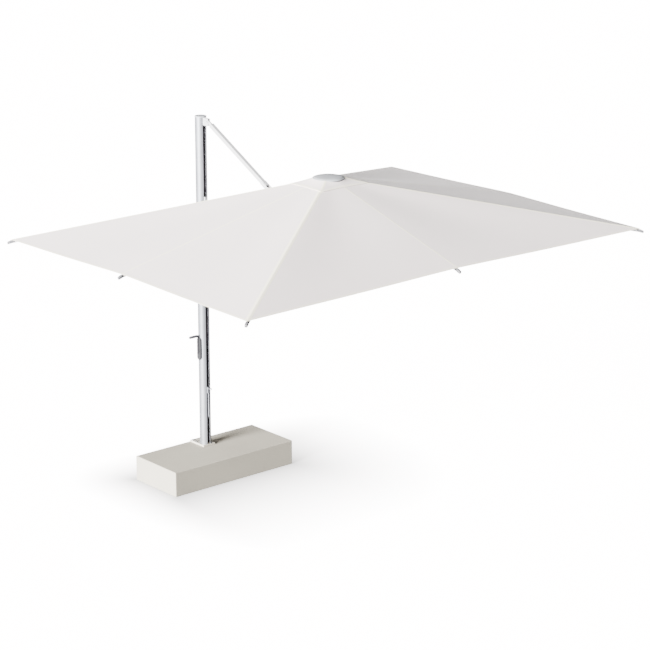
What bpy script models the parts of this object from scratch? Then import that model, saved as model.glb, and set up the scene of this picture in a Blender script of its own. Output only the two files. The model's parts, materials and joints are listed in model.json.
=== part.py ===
"""Cantilever parasol: slotted side mast, strut-hung arm, and a rectangular canopy on seven ribs.

Units are metres and +Z is up. The origin is on the base's underside, straight below the mast's axis.
+X points from the mast to the canopy's hub, and +Y runs along the canopy's long side.
Every piece is an object of its own, and a moving piece has its origin on its joint's axis.
"""
import math

import bmesh
import bpy
from mathutils import Matrix, Vector

# Base and foot
BASE_LENGTH = 1.290
BASE_DEPTH = 0.572
BASE_HEIGHT = 0.220
BASE_SHIFT = 0.132
BASE_EDGE = 0.004
FOOT_LENGTH = 0.200
FOOT_WIDTH = 0.125
FOOT_THICKNESS = 0.016
FOOT_SHIFT = -0.045

# Mast
MAST_TOP = 3.155
MAST_RADIUS = 0.050
MAST_WALL = 0.0045
SLOT_WIDTH = 0.027
LINER_THICKNESS = 0.0016
MAST_CAP_THICKNESS = 0.008
MAST_CAP_LIP = 0.0015
MAST_CAP_EDGE = 0.002
CRANK_HOLE_MARGIN = 0.003

# Slot brackets, and the carriage that runs in the slot
BRACKET_BLOCK_WIDTH = 0.80 * MAST_RADIUS
BRACKET_BLOCK_BACK = 0.24 * MAST_RADIUS
BRACKET_BLOCK_FRONT = 0.72 * MAST_RADIUS
EAR_THICKNESS = 0.0044
TONGUE_WIDTH = 0.014
EYE_RADIUS = 0.018
STRUT_PIVOT_X = MAST_RADIUS + 0.055
STRUT_PIVOT_DROP = 0.028
TOP_BLOCK_BELOW = 0.0375
TOP_EAR_REACH = 0.012
TOP_EAR_CORNER = 0.006
CARRIAGE_PIVOT_X = MAST_RADIUS + 0.035
CARRIAGE_PIVOT_Z = 2.385
CARRIAGE_BELOW = 0.055
CARRIAGE_ABOVE = 0.080
CARRIAGE_FACE_X = MAST_RADIUS + 0.0085
CARRIAGE_FACE_BELOW = 0.030

# Arm and strut
PIVOT_PIN_RADIUS = 0.006
PIN_HEAD_RIM = 0.0025
PIN_HEAD_THICKNESS = 0.003
ARM_HEIGHT = 0.050
ARM_WIDTH = 0.034
ARM_WALL = 0.003
ARM_TAIL_LENGTH = 0.060
ARM_HEAD_LENGTH = 0.045
ARM_TONGUE_HEIGHT = 0.034
PLUG_LENGTH = 0.050
PLUG_OVERLAP = 0.004
STRUT_SIZE = 0.034
STRUT_WALL = 0.0025
STRUT_HEAD_LENGTH = 0.050
STRUT_FOOT_LENGTH = 0.125
STRUT_JOINT_X = 0.9955
STRUT_PLATE_THICKNESS = 0.005
STRUT_PLATE_HEIGHT = 0.030
STRUT_PLATE_GRIP = 0.060

# Hub
HUB_PIVOT_BACK = 0.100
HUB_PIVOT_DROP = 0.122
CROWN_RADIUS = 0.152
CROWN_CORE_RADIUS = 0.126
CROWN_DROP = 0.084
RIB_HINGE_RADIUS = 0.140
HUB_EAR_THICKNESS = 0.013
HUB_BRACKET_HEIGHT = 0.062
HUB_BRACKET_FRONT = 0.035
HUB_BRACKET_BACK = 0.028
HUB_FORK_MARGIN = 0.012
CROWN_CLEARANCE = 0.002
CROWN_ROOF = 0.004
CAP_RADIUS = 0.130
CAP_DROP = 0.018
CAP_RIM = 0.012
CAP_DOME = 0.020
CAP_SHOULDER = 0.012

# Canopy: the apex is the point where the panels' planes would meet
APEX_Z = 2.930
CANOPY_DEPTH = 3.000
CANOPY_LENGTH = 4.066
REAR_CLEARANCE = 0.114
HUB_X = MAST_RADIUS + REAR_CLEARANCE + CANOPY_DEPTH / 2
CORNER_FALL = 0.475
MIDDLE_FALL = 0.446
CANOPY_THICKNESS = 0.003
CANOPY_HOLE_RADIUS = 0.136
HOLE_STEPS = 3
FLAP_DEPTH = 0.390
FLAP_LENGTH = 0.490
FLAP_LIFT = 0.003
FLAP_RISE = 0.010
FLAP_THICKNESS = 0.002
FLAP_HOLE_RADIUS = 0.150
STRUT_OPENING_MARGIN = 0.012

# Ribs, tips, runner and stretchers
RIB_WIDTH = 0.016
RIB_HEIGHT = 0.024
RIB_WALL = 0.0016
RIB_SINK = 0.006
RIB_ROOT = 0.008
RIB_SETBACK = 0.030
RIB_EAR_THICKNESS = 0.003
RIB_EAR_DEPTH = 0.017
RIB_EAR_LENGTH = 0.026
RIB_CLOSED_DEGREES = 88.0
TIP_OVERHANG = 0.028
TIP_WIDTH = 0.025
TIP_ROOT_HEIGHT = 0.026
TIP_END_HEIGHT = 0.018
TIP_DROOP = 0.010
TIP_EDGE = 0.002
RUNNER_RADIUS = 0.112
RUNNER_EDGE = 0.004
RUNNER_HINGE_RADIUS = 0.100
RUNNER_SLOT_RADIUS = 0.088
RUNNER_THICKNESS = 0.030
RUNNER_DROP = 0.356
RUNNER_TRAVEL = 1.500
STRETCHER_SIZE = 0.012
STRETCHER_END = 0.005
STRETCHER_OFFSET = 0.009

# Crank
CRANK_Z = 1.075
CRANK_SWING = 0.155
CRANK_SHAFT_RADIUS = 0.008
CRANK_HOUSING_WIDTH = 0.052
CRANK_HOUSING_LOW = 1.011
CRANK_HOUSING_HIGH = 1.215
CRANK_HOUSING_FACE = MAST_RADIUS + 0.010
CRANK_HOUSING_WRAP = 0.015
CRANK_STANDOFF = 0.003
CRANK_ARM_WIDTH = 0.016
CRANK_ARM_THICKNESS = 0.006
CRANK_GRIP_LENGTH = 0.090
CRANK_GRIP_RADIUS = 0.0125
CRANK_GRIP_NECK = 0.0106
CRANK_GRIP_END = 0.0088
CRANK_GRIP_TAPER = 0.010
CRANK_SPINDLE_RADIUS = 0.005
CRANK_SPINDLE_SHORT = 0.009
CRANK_SHAFT_STUB = 0.006
DRUM_RADIUS = 0.32 * MAST_RADIUS
DRUM_FLANGE_RADIUS = 0.48 * MAST_RADIUS
DRUM_FLANGE = 0.004
DRUM_LENGTH = 1.00 * MAST_RADIUS

# Lock lever at the foot of the slot
LEVER_PIVOT_Z = 0.722
LEVER_LENGTH = 0.235
LEVER_WIDTH = 0.012
LEVER_THICKNESS = 0.008
LEVER_KICK = 0.008
LEVER_KICK_HEIGHT = 0.028
LEVER_EDGE = 0.0012
LEVER_BRACKET_HEIGHT = 0.052
LEVER_BRACKET_BELOW = 0.012
LEVER_BRACKET_FRONT = 0.006
LEVER_MOUTH_DEPTH = 0.012
LEVER_MOUTH_ABOVE = 0.010
LEVER_PIVOT_X = MAST_RADIUS + 0.006
KNOB_Z = 0.752
KNOB_ROD_RADIUS = 0.0035
KNOB_BALL_RADIUS = 0.010
KNOB_REACH = MAST_RADIUS + 0.036
KNOB_NECK_DEGREES = 30
KNOB_STEP_DEGREES = 25
KNOB_NECK = 0.001

# Clearances
GAP = 0.0003
RUNNING = 0.0006
SEAM = 0.0008

# Guides: how far a cutter runs past a piece, how far a joined piece runs into its neighbour
CUT_PAST = 0.010
CUT_ACROSS = 0.200
JOIN = 0.001

RIGHT = -1
LEFT = 1
ROUND_STEPS = 48
PIN_STEPS = 24
ARC_STEPS = 12


# ---------------------------------------------------------------- scene helpers

def clear_scene():
    for item in list(bpy.data.objects):
        bpy.data.objects.remove(item, do_unlink=True)


def material(name, colour, roughness, metallic=0.0):
    made = bpy.data.materials.new(name)
    made.use_nodes = True
    shader = made.node_tree.nodes["Principled BSDF"]
    shader.inputs["Base Color"].default_value = (*colour, 1.0)
    shader.inputs["Roughness"].default_value = roughness
    shader.inputs["Metallic"].default_value = metallic
    made.diffuse_color = (*colour, 1.0)
    return made


def add_object(name, bm, finish=None, location=(0, 0, 0), rotation=(0, 0, 0), rounded=False):
    """Turn a bmesh into a named object; a piece with no finish is a guide for a Boolean."""
    bmesh.ops.recalc_face_normals(bm, faces=bm.faces)
    mesh = bpy.data.meshes.new(name)
    bm.to_mesh(mesh)
    bm.free()
    if rounded:
        mesh.shade_smooth()
        mesh.set_sharp_from_angle(angle=math.radians(30))
    made = bpy.data.objects.new(name, mesh)
    made.location = location
    made.rotation_euler = rotation
    bpy.context.collection.objects.link(made)
    if finish is None:
        made.hide_render = True
        made.display_type = "WIRE"
    else:
        mesh.materials.append(finish)
    return made


def combine(target, other, operation):
    """Boolean with a guide object: DIFFERENCE cuts it out, UNION joins it on."""
    step = target.modifiers.new(other.name, "BOOLEAN")
    step.operation = operation
    step.solver = "EXACT"
    step.object = other


def box(bm, low, high):
    corners = [bm.verts.new((x, y, z)) for x in (low[0], high[0])
               for y in (low[1], high[1]) for z in (low[2], high[2])]
    for face in ((0, 1, 3, 2), (4, 6, 7, 5), (0, 4, 5, 1), (2, 3, 7, 6), (0, 2, 6, 4), (1, 5, 7, 3)):
        bm.faces.new([corners[index] for index in face])


def box_mesh(low, high):
    bm = bmesh.new()
    box(bm, low, high)
    return bm


def prism(bm, outline, low, high, axis="Z"):
    """Extrude a flat outline from low to high along an axis."""
    order = {"X": (2, 0, 1), "Y": (0, 2, 1), "Z": (0, 1, 2)}[axis]

    def place(a, b, c):
        return [(a, b, c)[index] for index in order]

    bottom = [bm.verts.new(place(a, b, low)) for a, b in outline]
    top = [bm.verts.new(place(a, b, high)) for a, b in outline]
    bm.faces.new(bottom)
    bm.faces.new(top)
    count = len(outline)
    for index in range(count):
        after = (index + 1) % count
        bm.faces.new((bottom[index], bottom[after], top[after], top[index]))


def prism_mesh(outline, low, high, axis="Z"):
    bm = bmesh.new()
    prism(bm, outline, low, high, axis)
    return bm


def circle(radius, centre=(0.0, 0.0), segments=PIN_STEPS, start=0.0, turn=360.0):
    """Points of an arc; a full circle leaves out the repeated last point."""
    steps = segments if turn == 360.0 else segments + 1
    angles = [math.radians(start + turn * index / segments) for index in range(steps)]
    return [(centre[0] + radius * math.cos(a), centre[1] + radius * math.sin(a)) for a in angles]


def turned(bm, profile, segments=PIN_STEPS):
    """Solid of revolution about Z from a closed profile that starts and ends on the axis."""
    foot = bm.verts.new((0, 0, profile[0][1]))
    head = bm.verts.new((0, 0, profile[-1][1]))
    rings = []
    for radius, height in profile[1:-1]:
        rings.append([bm.verts.new((x, y, height)) for x, y in circle(radius, segments=segments)])
    for index in range(segments):
        after = (index + 1) % segments
        bm.faces.new((foot, rings[0][after], rings[0][index]))
        for lower, upper in zip(rings, rings[1:]):
            bm.faces.new((lower[index], lower[after], upper[after], upper[index]))
        bm.faces.new((head, rings[-1][index], rings[-1][after]))


def turned_mesh(profile, segments=PIN_STEPS):
    bm = bmesh.new()
    turned(bm, profile, segments)
    return bm


def square_tube(bm, start, end, width, height, wall, centre_z=0.0):
    """Rectangular tube along X, open at both ends."""
    def ring(x, inset):
        half_w = width / 2 - inset
        half_h = height / 2 - inset
        spots = ((-half_w, -half_h), (half_w, -half_h), (half_w, half_h), (-half_w, half_h))
        return [bm.verts.new((x, y, centre_z + z)) for y, z in spots]
    outer = [ring(start, 0.0), ring(end, 0.0)]
    inner = [ring(start, wall), ring(end, wall)]
    for index in range(4):
        after = (index + 1) % 4
        bm.faces.new((outer[0][index], outer[0][after], outer[1][after], outer[1][index]))
        bm.faces.new((inner[0][index], inner[1][index], inner[1][after], inner[0][after]))
        bm.faces.new((outer[0][index], inner[0][index], inner[0][after], outer[0][after]))
        bm.faces.new((outer[1][index], outer[1][after], inner[1][after], inner[1][index]))


def chamfer(item, width):
    edge = item.modifiers.new("edge", "BEVEL")
    edge.width = width
    edge.segments = 1
    edge.limit_method = "ANGLE"


def pin(name, inside_width, finish, location):
    """Cross pin along Y, with a round head on each side of the pieces it holds."""
    neck = inside_width / 2 + GAP
    end = neck + PIN_HEAD_THICKNESS
    head = PIVOT_PIN_RADIUS + PIN_HEAD_RIM
    profile = [(0, -end), (head, -end), (head, -neck), (PIVOT_PIN_RADIUS, -neck),
               (PIVOT_PIN_RADIUS, neck), (head, neck), (head, end), (0, end)]
    add_object(name, turned_mesh(profile), finish, location, (math.radians(90), 0, 0), rounded=True)


def bore_y(target, radius, location):
    """Drill a hole along Y through a piece."""
    half = CUT_ACROSS / 2
    cutter = add_object(target.name + "_bore_" + str(len(target.modifiers)),
                        prism_mesh(circle(radius), -half, half, "Y"), None, location)
    combine(target, cutter, "DIFFERENCE")


# ---------------------------------------------------------------- linkage geometry

STRUT_PIVOT = Vector((STRUT_PIVOT_X, 0, MAST_TOP - STRUT_PIVOT_DROP))
CARRIAGE_PIVOT = Vector((CARRIAGE_PIVOT_X, 0, CARRIAGE_PIVOT_Z))
HUB_PIVOT = Vector((HUB_X - HUB_PIVOT_BACK, 0, APEX_Z - HUB_PIVOT_DROP))
ARM_LENGTH = (HUB_PIVOT - CARRIAGE_PIVOT).length
ARM_RISE = math.atan2(HUB_PIVOT.z - CARRIAGE_PIVOT.z, HUB_PIVOT.x - CARRIAGE_PIVOT.x)
STRUT_JOINT_SHARE = (STRUT_JOINT_X - CARRIAGE_PIVOT_X) / (HUB_PIVOT.x - CARRIAGE_PIVOT_X)
STRUT_JOINT = CARRIAGE_PIVOT.lerp(HUB_PIVOT, STRUT_JOINT_SHARE)
STRUT_LENGTH = (STRUT_PIVOT - STRUT_JOINT).length
STRUT_FALL = math.atan2(STRUT_PIVOT.z - STRUT_JOINT.z, STRUT_JOINT.x - STRUT_PIVOT.x)
ARM_JOINT_LENGTH = (STRUT_JOINT - CARRIAGE_PIVOT).length

# The ribs in order round the hub: name, and the canopy edge point as shares of half depth and half length
RIB_ENDS = (
    ("rear_right", -1, -1), ("right", 0, -1), ("front_right", 1, -1), ("front", 1, 0),
    ("front_left", 1, 1), ("left", 0, 1), ("rear_left", -1, 1),
)


def edge_point(along_x, along_y):
    """Fabric's edge point over a rib, relative to the hub's axis, with its real height."""
    fall = CORNER_FALL if along_x and along_y else MIDDLE_FALL
    return Vector((along_x * CANOPY_DEPTH / 2, along_y * CANOPY_LENGTH / 2, APEX_Z - fall))


def rib_layout(along_x, along_y):
    """Directions, angles, lengths and pivots of one rib and its stretcher, in its own radial plane."""
    end = edge_point(along_x, along_y)
    reach = math.hypot(end.x, end.y)
    slope = math.atan2(APEX_Z - end.z, reach)
    azimuth = math.atan2(end.y, end.x)
    crest = APEX_Z - RIB_HINGE_RADIUS * math.tan(slope)
    hinge = Vector((RIB_HINGE_RADIUS, crest - RIB_SINK - RIB_HEIGHT / math.cos(slope)))
    closed = math.radians(RIB_CLOSED_DEGREES)
    low_open = Vector((RUNNER_HINGE_RADIUS, APEX_Z - RUNNER_DROP))
    low_closed = low_open - Vector((0, RUNNER_TRAVEL))
    along_open = Vector((math.cos(slope), -math.sin(slope)))
    along_closed = Vector((math.cos(closed), -math.sin(closed)))
    under_open = Vector((-math.sin(slope), -math.cos(slope)))
    under_closed = Vector((-math.sin(closed), -math.cos(closed)))
    to_open = hinge - low_open
    to_closed = hinge - low_closed
    change = to_closed.length_squared - to_open.length_squared
    change += 2 * STRETCHER_OFFSET * (under_closed.dot(to_closed) - under_open.dot(to_open))
    attach = change / (2 * (along_open.dot(to_open) - along_closed.dot(to_closed)))
    joint_open = hinge + along_open * attach + under_open * STRETCHER_OFFSET
    down_open = low_open - joint_open
    return {
        "azimuth": azimuth, "slope": slope, "reach": reach, "hinge": hinge, "attach": attach,
        "joint": joint_open, "stretcher_length": down_open.length,
        "length": (reach - RIB_SETBACK - RIB_HINGE_RADIUS) / math.cos(slope),
        "stretcher_angle": math.atan2(-down_open.y, down_open.x),
    }


def in_plane(layout, spot):
    """World position of a point given as radius and height in a rib's plane."""
    azimuth = layout["azimuth"]
    return Vector((HUB_X + spot.x * math.cos(azimuth), spot.x * math.sin(azimuth), spot.y))


# ---------------------------------------------------------------- base and mast

def build_base(stone, paint):
    half_x = BASE_DEPTH / 2
    half_y = BASE_LENGTH / 2
    block = box_mesh((-half_x, -half_y, 0), (half_x, half_y, BASE_HEIGHT))
    chamfer(add_object("base_block", block, stone, (BASE_SHIFT, 0, 0)), BASE_EDGE)
    half_x = FOOT_LENGTH / 2
    half_y = FOOT_WIDTH / 2
    plate = box_mesh((-half_x, -half_y, GAP), (half_x, half_y, FOOT_THICKNESS))
    add_object("foot_plate", plate, paint, (FOOT_SHIFT, 0, BASE_HEIGHT))


def slotted_ring(outer, inner, opening):
    """Outline of a ring that is open towards +X by the slot's width."""
    start_out = math.degrees(math.asin(opening / 2 / outer))
    start_in = math.degrees(math.asin(opening / 2 / inner))
    outside = circle(outer, (0, 0), ROUND_STEPS, start_out, 360 - 2 * start_out)
    inside = circle(inner, (0, 0), ROUND_STEPS, start_in, 360 - 2 * start_in)
    return outside + inside[::-1]


def build_mast(metal, dark, cap_finish):
    foot = BASE_HEIGHT + FOOT_THICKNESS + GAP
    inner = MAST_RADIUS - MAST_WALL
    ring = slotted_ring(MAST_RADIUS, inner, SLOT_WIDTH)
    mast = add_object("mast_tube", prism_mesh(ring, foot, MAST_TOP), metal, rounded=True)
    opening = circle(CRANK_SHAFT_RADIUS + CRANK_HOLE_MARGIN, (0, CRANK_Z))
    hole = add_object("mast_tube_crank_hole",
                      prism_mesh(opening, -MAST_RADIUS - CUT_PAST, -inner + CUT_PAST, "Y"))
    combine(mast, hole, "DIFFERENCE")
    liner_outer = inner - GAP
    liner_ring = slotted_ring(liner_outer, liner_outer - LINER_THICKNESS, SLOT_WIDTH)
    liner = add_object("slot_liner", prism_mesh(liner_ring, foot, MAST_TOP - GAP), dark, rounded=True)
    combine(liner, hole, "DIFFERENCE")
    lip = MAST_RADIUS + MAST_CAP_LIP
    plate = turned_mesh([(0, GAP), (lip, GAP), (lip, MAST_CAP_THICKNESS - MAST_CAP_EDGE),
                         (lip - MAST_CAP_EDGE, MAST_CAP_THICKNESS), (0, MAST_CAP_THICKNESS)], ROUND_STEPS)
    add_object("mast_cap", plate, cap_finish, (0, 0, MAST_TOP), rounded=True)


def slot_block(name, finish, pivot, block_low, block_high, ear_end):
    """Block inside the mast, with two ears that come out of the slot and carry a pivot pin.

    The ears' outer end is given as points from its bottom to its top, with heights from the pivot.
    """
    half_block = BRACKET_BLOCK_WIDTH / 2
    bm = box_mesh((BRACKET_BLOCK_BACK, -half_block, block_low),
                  (BRACKET_BLOCK_FRONT, half_block, block_high))
    block = add_object(name, bm, finish, (0, 0, pivot.z))
    ear_in = TONGUE_WIDTH / 2 + RUNNING
    ear_out = ear_in + EAR_THICKNESS
    root = BRACKET_BLOCK_FRONT - JOIN
    outline = [(root, ear_end[0][1])] + ear_end + [(root, ear_end[-1][1])]
    for side in (RIGHT, LEFT):
        low, high = sorted((side * ear_in, side * ear_out))
        ear = add_object(name + ("_ear_left" if side == LEFT else "_ear_right"),
                         prism_mesh(outline, low, high, "Y"), None, (0, 0, pivot.z))
        combine(block, ear, "UNION")
    bore_y(block, PIVOT_PIN_RADIUS + GAP, pivot)
    return block


def slot_pin(name, finish, pivot):
    """Pin through the ears and the tongue between them, with its heads inside the slot's width."""
    length = TONGUE_WIDTH + 2 * (RUNNING + EAR_THICKNESS + GAP)
    profile = circle(PIVOT_PIN_RADIUS)
    add_object(name, prism_mesh(profile, -length / 2, length / 2, "Y"), finish, pivot, rounded=True)


def build_top_bracket(metal, steel):
    low = -TOP_BLOCK_BELOW
    high = STRUT_PIVOT_DROP - 2 * RUNNING
    far = STRUT_PIVOT_X + TOP_EAR_REACH
    ear_end = [(far - TOP_EAR_CORNER, low), (far, low + TOP_EAR_CORNER),
               (far, high - TOP_EAR_CORNER), (far - TOP_EAR_CORNER, high)]
    slot_block("top_bracket", metal, STRUT_PIVOT, low, high, ear_end)
    slot_pin("top_pin", steel, STRUT_PIVOT)


# ---------------------------------------------------------------- strut, arm, carriage

def lug(name, finish, pivot, rotation, length, plug_width, height):
    """Eye and tongue at a pivot, widening after a length into a plug that sits in the tube behind it."""
    half = height / 2
    half_tongue = TONGUE_WIDTH / 2
    side = [(length + PLUG_OVERLAP, -half), (length + PLUG_OVERLAP, half)]
    side += circle(half, (0, 0), ARC_STEPS, 90, 180)
    eye = add_object(name, prism_mesh(side, -half_tongue, half_tongue, "Y"), finish, pivot, rotation)
    plug = box_mesh((length + GAP, -plug_width / 2, -half), (length + PLUG_LENGTH, plug_width / 2, half))
    combine(eye, add_object(name + "_plug", plug, None, pivot, rotation), "UNION")
    bore_y(eye, PIVOT_PIN_RADIUS + GAP, pivot)


def build_strut(metal, steel):
    turn = (0, STRUT_FALL, 0)
    end = STRUT_LENGTH - STRUT_FOOT_LENGTH
    bm = bmesh.new()
    square_tube(bm, STRUT_HEAD_LENGTH, end, STRUT_SIZE, STRUT_SIZE, STRUT_WALL)
    add_object("strut_tube", bm, metal, STRUT_PIVOT, turn)
    inside = STRUT_SIZE - 2 * STRUT_WALL - 2 * GAP
    lug("strut_head", metal, STRUT_PIVOT, turn, STRUT_HEAD_LENGTH, inside, inside)
    half = STRUT_PLATE_HEIGHT / 2
    near = end - STRUT_PLATE_GRIP
    outline = [(near, -half)] + circle(half, (STRUT_LENGTH, 0), ARC_STEPS, -90, 180) + [(near, half)]
    inner_face = max(STRUT_SIZE, ARM_WIDTH) / 2 + RUNNING
    outer_face = inner_face + STRUT_PLATE_THICKNESS
    for side, name in ((RIGHT, "strut_plate_right"), (LEFT, "strut_plate_left")):
        low, high = sorted((side * inner_face, side * outer_face))
        plate = add_object(name, prism_mesh(outline, low, high, "Y"), metal, STRUT_PIVOT, turn)
        bore_y(plate, PIVOT_PIN_RADIUS + GAP, STRUT_JOINT)
    pin("strut_pin", 2 * outer_face, steel, STRUT_JOINT)


def build_arm(metal):
    turn = (0, -ARM_RISE, 0)
    bm = bmesh.new()
    square_tube(bm, ARM_TAIL_LENGTH - ARM_JOINT_LENGTH, ARM_LENGTH - ARM_JOINT_LENGTH - ARM_HEAD_LENGTH,
                ARM_WIDTH, ARM_HEIGHT, ARM_WALL)
    tube = add_object("arm_tube", bm, metal, STRUT_JOINT, turn)
    bore_y(tube, PIVOT_PIN_RADIUS + GAP, STRUT_JOINT)
    inside = ARM_WIDTH - 2 * ARM_WALL - 2 * GAP
    lug("arm_tail", metal, CARRIAGE_PIVOT, turn, ARM_TAIL_LENGTH, inside, ARM_TONGUE_HEIGHT)
    half_w = ARM_WIDTH / 2
    half_h = ARM_TONGUE_HEIGHT / 2
    back = -ARM_HEAD_LENGTH
    side = circle(half_h, (0, 0), ARC_STEPS, -90, 180) + [(back + GAP, half_h), (back + GAP, -half_h)]
    head = add_object("arm_head", prism_mesh(side, -half_w, half_w, "Y"), metal, HUB_PIVOT, turn)
    plug = box_mesh((back - PLUG_LENGTH, -inside / 2, -half_h), (back + PLUG_OVERLAP, inside / 2, half_h))
    combine(head, add_object("arm_head_plug", plug, None, HUB_PIVOT, turn), "UNION")
    bore_y(head, PIVOT_PIN_RADIUS + GAP, HUB_PIVOT)


def build_carriage(metal, steel):
    eye = circle(EYE_RADIUS, (CARRIAGE_PIVOT_X, 0.0), ARC_STEPS, -90, 180)
    block = slot_block("carriage", metal, CARRIAGE_PIVOT, -CARRIAGE_BELOW, CARRIAGE_ABOVE, eye)
    half = TONGUE_WIDTH / 2 + RUNNING + EAR_THICKNESS
    face = box_mesh((BRACKET_BLOCK_FRONT - JOIN, -half, CARRIAGE_FACE_BELOW),
                    (CARRIAGE_FACE_X, half, CARRIAGE_ABOVE))
    combine(block, add_object("carriage_face", face, None, (0, 0, CARRIAGE_PIVOT_Z)), "UNION")
    slot_pin("carriage_pin", steel, CARRIAGE_PIVOT)


# ---------------------------------------------------------------- hub

def radial_slots(name, inner, outer, width, low, high, location):
    """One cutter with a slot for each rib."""
    bm = bmesh.new()
    for _, along_x, along_y in RIB_ENDS:
        before = set(bm.verts)
        box(bm, (inner, -width / 2, low), (outer, width / 2, high))
        fresh = [vert for vert in bm.verts if vert not in before]
        turn = Matrix.Rotation(rib_layout(along_x, along_y)["azimuth"], 3, "Z")
        bmesh.ops.rotate(bm, verts=fresh, cent=(0, 0, 0), matrix=turn)
    return add_object(name, bm, None, location)


def steepest_slope():
    """Largest fall per metre from the apex, over the ribs and the rear panel's middle."""
    ends = [edge_point(x, y) for _, x, y in RIB_ENDS] + [rear_point()]
    return max((APEX_Z - end.z) / math.hypot(end.x, end.y) for end in ends)


def build_hub(plastic, metal, steel, cap_finish):
    under = APEX_Z - CROWN_DROP
    rim_top = APEX_Z - steepest_slope() * CROWN_RADIUS - CANOPY_THICKNESS - CROWN_CLEARANCE
    core_top = APEX_Z - CAP_DROP - GAP
    profile = [(0, under), (CROWN_RADIUS, under), (CROWN_RADIUS, rim_top), (CROWN_CORE_RADIUS, rim_top),
               (CROWN_CORE_RADIUS, core_top), (0, core_top)]
    crown = add_object("hub_crown", turned_mesh(profile, ROUND_STEPS), plastic, (HUB_X, 0, 0), rounded=True)
    slots = radial_slots("hub_crown_slots", CROWN_CORE_RADIUS, CROWN_RADIUS + CUT_PAST,
                         RIB_WIDTH + 2 * RUNNING, under - CUT_PAST, core_top - CROWN_ROOF, (HUB_X, 0, 0))
    combine(crown, slots, "DIFFERENCE")
    build_hub_bracket(metal, under)
    pin("hub_pin", ARM_WIDTH + 2 * (RUNNING + HUB_EAR_THICKNESS), steel, HUB_PIVOT)
    base = APEX_Z - CAP_DROP
    dome = [(0, base), (CAP_RADIUS, base), (CAP_RADIUS, base + CAP_RIM),
            (CAP_RADIUS - CAP_SHOULDER, base + (CAP_RIM + CAP_DOME) / 2), (0, base + CAP_DOME)]
    add_object("canopy_cap", turned_mesh(dome, ROUND_STEPS), cap_finish, (HUB_X, 0, 0), rounded=True)


def build_hub_bracket(metal, under):
    """Fork under the crown: two ears beside the arm's head, joined by a block in front of it."""
    inner = ARM_WIDTH / 2 + RUNNING
    outer = inner + HUB_EAR_THICKNESS
    back = -HUB_PIVOT_BACK - HUB_BRACKET_BACK
    block = -HUB_PIVOT_BACK + ARM_TONGUE_HEIGHT / 2 + HUB_FORK_MARGIN
    front = HUB_BRACKET_FRONT
    outline = [(front, -outer), (front, outer), (back, outer), (back, inner),
               (block, inner), (block, -inner), (back, -inner), (back, -outer)]
    body = prism_mesh(outline, -HUB_BRACKET_HEIGHT, -GAP)
    bracket = add_object("hub_bracket", body, metal, (HUB_X, 0, under))
    bore_y(bracket, PIVOT_PIN_RADIUS + GAP, HUB_PIVOT)


def build_runner(plastic):
    half = RUNNER_THICKNESS / 2
    centre = (HUB_X, 0, APEX_Z - RUNNER_DROP)
    profile = [(0, -half), (RUNNER_RADIUS - RUNNER_EDGE, -half), (RUNNER_RADIUS, -half + RUNNER_EDGE),
               (RUNNER_RADIUS, half - RUNNER_EDGE), (RUNNER_RADIUS - RUNNER_EDGE, half), (0, half)]
    runner = add_object("runner", turned_mesh(profile, ROUND_STEPS), plastic, centre, rounded=True)
    slots = radial_slots("runner_slots", RUNNER_SLOT_RADIUS, RUNNER_RADIUS + CUT_PAST,
                         STRETCHER_SIZE + 2 * RUNNING, -RUNNER_THICKNESS, RUNNER_THICKNESS, centre)
    combine(runner, slots, "DIFFERENCE")


# ---------------------------------------------------------------- ribs, tips and stretchers

def build_rib(name, layout, metal):
    origin = in_plane(layout, layout["hinge"])
    turn = (0, layout["slope"], layout["azimuth"])
    bm = bmesh.new()
    square_tube(bm, -RIB_ROOT, layout["length"], RIB_WIDTH, RIB_HEIGHT, RIB_WALL, RIB_HEIGHT / 2)
    rib = add_object("rib_" + name, bm, metal, origin, turn)
    inner = STRETCHER_SIZE / 2 + RUNNING
    for side in (RIGHT, LEFT):
        low, high = sorted((side * inner, side * (inner + RIB_EAR_THICKNESS)))
        ear = box_mesh((layout["attach"] - RIB_EAR_LENGTH / 2, low, -RIB_EAR_DEPTH),
                       (layout["attach"] + RIB_EAR_LENGTH / 2, high, RIB_WALL / 2))
        label = "_ear_left" if side == LEFT else "_ear_right"
        combine(rib, add_object("rib_" + name + label, ear, None, origin, turn), "UNION")


def build_tip(name, layout, plastic):
    """End piece of a rib: it tapers and droops a little past the canopy's hem."""
    origin = in_plane(layout, layout["hinge"])
    start = layout["length"] + GAP
    end = (layout["reach"] + TIP_OVERHANG - RIB_HINGE_RADIUS) / math.cos(layout["slope"])
    half = TIP_WIDTH / 2
    top = RIB_HEIGHT
    side = [(start, top - TIP_ROOT_HEIGHT), (end, top - TIP_DROOP - TIP_END_HEIGHT), (end, top - TIP_DROOP),
            (start + RIB_SETBACK, top), (start, top)]
    turn = (0, layout["slope"], layout["azimuth"])
    chamfer(add_object("tip_" + name, prism_mesh(side, -half, half, "Y"), plastic, origin, turn), TIP_EDGE)


def build_stretcher(name, layout, metal):
    half = STRETCHER_SIZE / 2
    far = layout["stretcher_length"] + STRETCHER_END
    bm = box_mesh((-STRETCHER_END, -half, -half), (far, half, half))
    add_object("stretcher_" + name, bm, metal, in_plane(layout, layout["joint"]),
               (0, layout["stretcher_angle"], layout["azimuth"]))


# ---------------------------------------------------------------- canopy

def rear_point():
    """Middle of the canopy's rear edge, where no rib runs."""
    return Vector((-CANOPY_DEPTH / 2, 0, APEX_Z - CORNER_FALL))


def plane_height(first, second):
    """Height of the plane through the apex and two edge points, as a function of x and y."""
    a = first - Vector((0, 0, APEX_Z))
    b = second - Vector((0, 0, APEX_Z))
    normal = a.cross(b)
    return lambda x, y: APEX_Z - (normal.x * x + normal.y * y) / normal.z


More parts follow.
